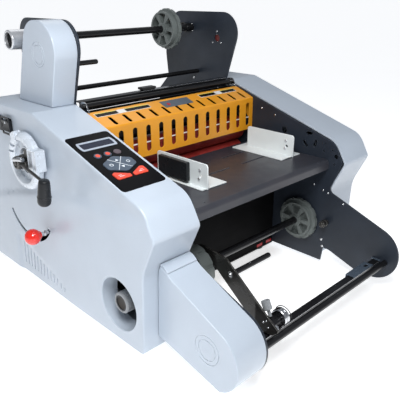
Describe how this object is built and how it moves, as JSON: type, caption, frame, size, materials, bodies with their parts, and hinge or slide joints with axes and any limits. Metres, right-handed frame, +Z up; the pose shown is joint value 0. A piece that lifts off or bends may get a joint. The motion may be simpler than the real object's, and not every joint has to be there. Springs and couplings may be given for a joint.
{
  "type": "roll laminator",
  "caption": "Desktop hot roll laminator: twin film shafts with core chucks, feed table with guides, hinged finger guard, heated and pull rollers, side controls and a slitter.",
  "frame": {"origin": "centre of the machine's footprint on the surface that it stands on", "axes": "+Z up, +X to the operator's right, -Y the infeed side where the operator stands"},
  "size_m": [0.647, 0.7158, 0.5365],
  "materials": {
    "cover_paint": "satin moulded shell",
    "plate_paint": "satin powder coat",
    "black_paint": "semi-gloss",
    "guard_paint": "semi-gloss safety orange",
    "chuck_plastic": "moulded",
    "silicone": "smooth silicone",
    "steel": "bright",
    "gunmetal": "dark oxide",
    "white_metal": "cast, silver-white",
    "guide_paint": "satin off-white",
    "grip_plastic": "moulded",
    "ball_plastic": "polished",
    "panel_film": "gloss film",
    "screen": "gloss window",
    "key_grey": "satin",
    "key_red": "satin",
    "rubber": "matt",
    "aluminium": "satin",
    "gear_plastic": "natural"
  },
  "bodies": {
    "frame": {"side_plate_left": "plate_paint", "side_plate_right": "plate_paint", "base_pan": "black_paint", "foot_front_left": "rubber", "foot_front_right": "rubber", "foot_rear_left": "rubber", "foot_rear_right": "rubber", "rear_panel": "plate_paint", "front_apron": "black_paint", "side_cover_left": "cover_paint", "side_cover_right": "cover_paint", "tower_cover": "cover_paint", "arm_cover": "cover_paint", "feed_table": "plate_paint", "control_panel": "panel_film", "display_window": "screen", "power_inlet": "grip_plastic", "drive_motor": "steel", "slitter_rail": "black_paint", "link_plate": "gunmetal", "upper_stub_rod": "black_paint", "lower_stub_rod": "black_paint", "guard_hinge_rod": "black_paint", "pressure_ring": "white_metal"},
    "upper_reel": {"upper_film_shaft": "black_paint", "upper_shaft_knob": "steel", "upper_chuck": "chuck_plastic"},
    "lower_reel": {"lower_film_shaft": "black_paint", "lower_shaft_knob": "aluminium", "lower_chuck_left": "chuck_plastic", "lower_chuck_right": "chuck_plastic"},
    "upper_idler": {"upper_idler": "black_paint"},
    "front_idler": {"front_idler": "black_paint"},
    "guard": {"safety_guard": "guard_paint"},
    "guide_left": {"paper_guide_left": "guide_paint", "guide_magnet": "grip_plastic"},
    "guide_right": {"paper_guide_right": "guide_paint"},
    "heat_lower": {"heat_roller_lower": "silicone", "drive_gear_lower": "gear_plastic"},
    "yoke": {"roller_yoke": "aluminium"},
    "heat_upper": {"heat_roller_upper": "silicone", "drive_gear_upper": "gear_plastic"},
    "pull_lower": {"pull_roller_lower": "rubber"},
    "pull_upper": {"pull_roller_upper": "rubber"},
    "pinion": {"motor_pinion": "steel"},
    "pressure": {"pressure_lever": "steel", "pressure_grip": "grip_plastic"},
    "tension": {"tension_lever": "steel", "tension_ball": "ball_plastic"},
    "power_rocker": {"power_switch": "grip_plastic"},
    "key_left": {"round_key_1": "key_red"},
    "key_middle": {"round_key_2": "key_red"},
    "key_right": {"round_key_3": "key_grey"},
    "nav": {"nav_key": "key_grey"},
    "arrow_left": {"arrow_key_left": "key_red"},
    "arrow_right": {"arrow_key_right": "key_red"},
    "slitter": {"slitter_block": "black_paint"},
    "slitter_wheel": {"slitter_wheel": "steel"},
    "slitter_knob": {"slitter_knob": "aluminium"},
    "rail_slider": {"rail_slider": "aluminium"}
  },
  "joints": [
    {"name": "upper_reel_spin", "type": "hinge", "parent": "frame", "child": "upper_reel", "pos_m": [0, 0.2261, 0.4915], "axis": [1, 0, 0], "continuous": true},
    {"name": "lower_reel_spin", "type": "hinge", "parent": "frame", "child": "lower_reel", "pos_m": [0, -0.1219, 0.098], "axis": [1, 0, 0], "continuous": true},
    {"name": "upper_idler_spin", "type": "hinge", "parent": "frame", "child": "upper_idler", "pos_m": [0, 0.2051, 0.3905], "axis": [1, 0, 0], "continuous": true},
    {"name": "front_idler_spin", "type": "hinge", "parent": "frame", "child": "front_idler", "pos_m": [0, -0.3319, 0.062], "axis": [1, 0, 0], "continuous": true},
    {"name": "guard_hinge", "type": "hinge", "parent": "frame", "child": "guard", "pos_m": [0, 0.0921, 0.378], "axis": [-1, 0, 0], "range_deg": [0, 75]},
    {"name": "guide_left_slide", "type": "slide", "parent": "frame", "child": "guide_left", "axis": [1, 0, 0], "range_m": [-0.08, 0.08]},
    {"name": "guide_right_slide", "type": "slide", "parent": "frame", "child": "guide_right", "axis": [1, 0, 0], "range_m": [-0.085, 0.009]},
    {"name": "heat_lower_spin", "type": "hinge", "parent": "frame", "child": "heat_lower", "pos_m": [0, 0.0661, 0.2205], "axis": [1, 0, 0], "continuous": true},
    {"name": "yoke_lift", "type": "slide", "parent": "frame", "child": "yoke", "axis": [0, 0, 1], "range_m": [0, 0.0102]},
    {"name": "heat_upper_spin", "type": "hinge", "parent": "yoke", "child": "heat_upper", "pos_m": [0, 0.0661, 0.277], "axis": [1, 0, 0], "continuous": true},
    {"name": "pull_lower_spin", "type": "hinge", "parent": "frame", "child": "pull_lower", "pos_m": [0, 0.2261, 0.2265], "axis": [1, 0, 0], "continuous": true},
    {"name": "pull_upper_spin", "type": "hinge", "parent": "frame", "child": "pull_upper", "pos_m": [0, 0.2261, 0.271], "axis": [1, 0, 0], "continuous": true},
    {"name": "pinion_spin", "type": "hinge", "parent": "frame", "child": "pinion", "pos_m": [0, 0.09606, 0.19054], "axis": [1, 0, 0], "continuous": true},
    {"name": "pressure_turn", "type": "hinge", "parent": "frame", "child": "pressure", "pos_m": [0, 0.1331, 0.2885], "axis": [-1, 0, 0], "range_deg": [0, 95]},
    {"name": "tension_turn", "type": "hinge", "parent": "frame", "child": "tension", "pos_m": [0, 0.1581, 0.212], "axis": [1, 0, 0], "range_deg": [0, 106]},
    {"name": "power_rock", "type": "hinge", "parent": "frame", "child": "power_rocker", "pos_m": [-0.2725, 0.2031, 0.3415], "axis": [0, 1, 0], "range_deg": [-6, 6]},
    {"name": "key_left_press", "type": "slide", "parent": "frame", "child": "key_left", "axis": [0, 0.2994, -0.9541], "range_m": [0, 0.001], "stiffness_N_per_m": 200, "springref_m": -0.0005},
    {"name": "key_middle_press", "type": "slide", "parent": "frame", "child": "key_middle", "axis": [0, 0.2994, -0.9541], "range_m": [0, 0.001], "stiffness_N_per_m": 200, "springref_m": -0.0005},
    {"name": "key_right_press", "type": "slide", "parent": "frame", "child": "key_right", "axis": [0, 0.2994, -0.9541], "range_m": [0, 0.001], "stiffness_N_per_m": 200, "springref_m": -0.0005},
    {"name": "nav_press", "type": "slide", "parent": "frame", "child": "nav", "axis": [0, 0.2994, -0.9541], "range_m": [0, 0.001], "stiffness_N_per_m": 200, "springref_m": -0.0005},
    {"name": "arrow_left_press", "type": "slide", "parent": "frame", "child": "arrow_left", "axis": [0, 0.2994, -0.9541], "range_m": [0, 0.001], "stiffness_N_per_m": 200, "springref_m": -0.0005},
    {"name": "arrow_right_press", "type": "slide", "parent": "frame", "child": "arrow_right", "axis": [0, 0.2994, -0.9541], "range_m": [0, 0.001], "stiffness_N_per_m": 200, "springref_m": -0.0005},
    {"name": "slitter_slide", "type": "slide", "parent": "frame", "child": "slitter", "axis": [1, 0, 0], "range_m": [0, 0.18]},
    {"name": "slitter_wheel_spin", "type": "hinge", "parent": "slitter", "child": "slitter_wheel", "pos_m": [-0.096, -0.3159, 0.0808], "axis": [1, 0, 0], "continuous": true},
    {"name": "slitter_knob_turn", "type": "hinge", "parent": "slitter", "child": "slitter_knob", "pos_m": [-0.1135, -0.3099, 0.0847], "axis": [0, 0.4512, 0.8924], "range_deg": [0, 360]},
    {"name": "rail_slider_slide", "type": "slide", "parent": "frame", "child": "rail_slider", "axis": [1, 0, 0], "range_m": [-0.03, 0.025]}
  ],
  "couplings": [
    {"joint": "heat_upper_spin", "follows": "heat_lower_spin", "ratio": -1},
    {"joint": "pinion_spin", "follows": "heat_lower_spin", "ratio": -2},
    {"joint": "pull_lower_spin", "follows": "heat_lower_spin", "ratio": 1.2727},
    {"joint": "pull_upper_spin", "follows": "heat_lower_spin", "ratio": -1.2727},
    {"joint": "yoke_lift", "follows": "pressure_turn", "m_per_rad": 0.006}
  ]
}
